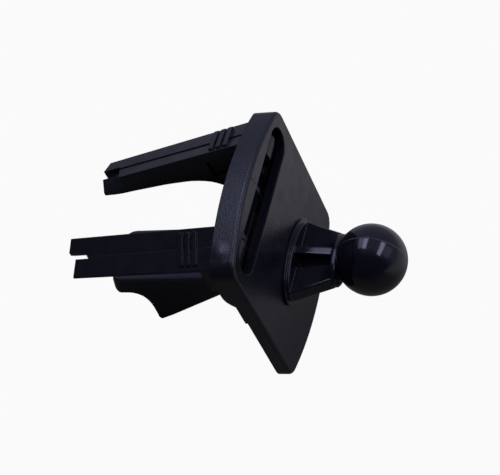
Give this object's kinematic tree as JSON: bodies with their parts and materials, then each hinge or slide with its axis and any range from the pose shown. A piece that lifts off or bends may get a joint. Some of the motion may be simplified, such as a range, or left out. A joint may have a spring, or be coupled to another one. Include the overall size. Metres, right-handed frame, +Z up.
{
  "type": "vent clip phone mount",
  "caption": "Clip-on air vent base for a phone cradle: slotted cover plate, ball stem in front, slotted arms and a sprung trigger lever behind.",
  "frame": {"origin": "centre of the ball", "axes": "+Y from the ball through the plate to the jaw, +Z up towards the plate's slot, +X right seen from the ball"},
  "size_m": [0.048, 0.0758, 0.0508],
  "materials": {
    "plate_plastic": "satin with a fine moulded grain",
    "ball_plastic": "gloss",
    "arm_plastic": "satin",
    "lever_plastic": "satin",
    "screw_steel": "zinc plated",
    "pin_steel": "ground",
    "spring_steel": "drawn wire"
  },
  "bodies": {
    "base": {"face_plate": "plate_plastic", "ball_head": "ball_plastic", "ball_screw": "screw_steel", "ball_screw_washer": "screw_steel", "arm_screws": "screw_steel", "left_arm": "arm_plastic", "right_arm": "arm_plastic", "hinge_pin": "pin_steel", "pin_clip": "pin_steel", "left_spring": "spring_steel", "right_spring": "spring_steel"},
    "lever": {"trigger_lever": "lever_plastic"}
  },
  "joints": [
    {"name": "lever_hinge", "type": "hinge", "parent": "base", "child": "lever", "pos_m": [0, 0.0271, 0.0186], "axis": [1, 0, 0], "range_deg": [-12, 0], "stiffness_Nm_per_rad": 0.4, "springref_deg": 14.32, "deforming": ["left_spring", "right_spring"]}
  ]
}
